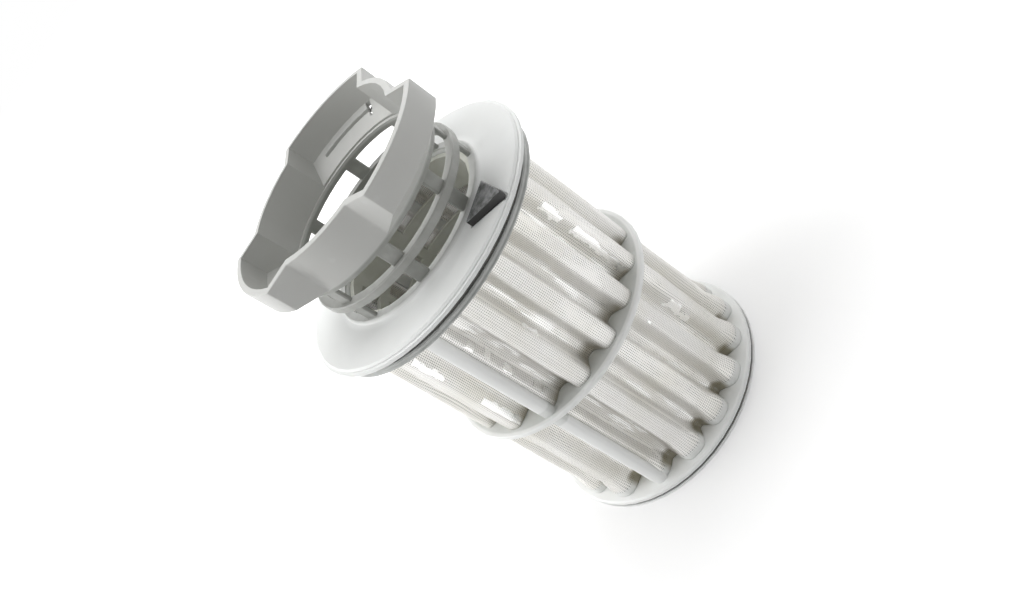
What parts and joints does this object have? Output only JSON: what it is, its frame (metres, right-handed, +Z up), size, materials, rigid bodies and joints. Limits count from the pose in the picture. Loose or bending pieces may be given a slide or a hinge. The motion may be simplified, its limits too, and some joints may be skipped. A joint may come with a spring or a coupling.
{
  "type": "dishwasher filter",
  "caption": "Dishwasher filter cylinder: a strainer with a lobed grip, windowed cage and flange that lifts out of a pleated fine-mesh cylinder in a ringed plastic frame.",
  "frame": {"origin": "centre of the underside, on the surface it stands on", "axes": "+Z up along the filter's axis, from the base ring to the grip"},
  "size_m": [0.08, 0.08, 0.123],
  "materials": {
    "pale_grey_plastic": "smooth moulded, slightly glossy pale grey polypropylene",
    "black_plastic": "matt black, worn grey on top",
    "black_rubber": "matt dark rubber",
    "steel_mesh": "fine woven stainless mesh"
  },
  "bodies": {
    "micro_filter": {"upper_frame": "pale_grey_plastic", "upper_mesh": "steel_mesh", "lower_frame": "pale_grey_plastic", "lower_mesh": "steel_mesh", "bottom_seal": "black_rubber"},
    "strainer": {"strainer_handle": "pale_grey_plastic", "pointer_arrow": "black_plastic", "flange_seal": "black_rubber", "coarse_basket": "pale_grey_plastic"}
  },
  "joints": [
    {"name": "strainer_lift", "type": "slide", "parent": "micro_filter", "child": "strainer", "axis": [0, 0, 1], "range_m": [0, 0.06]}
  ]
}
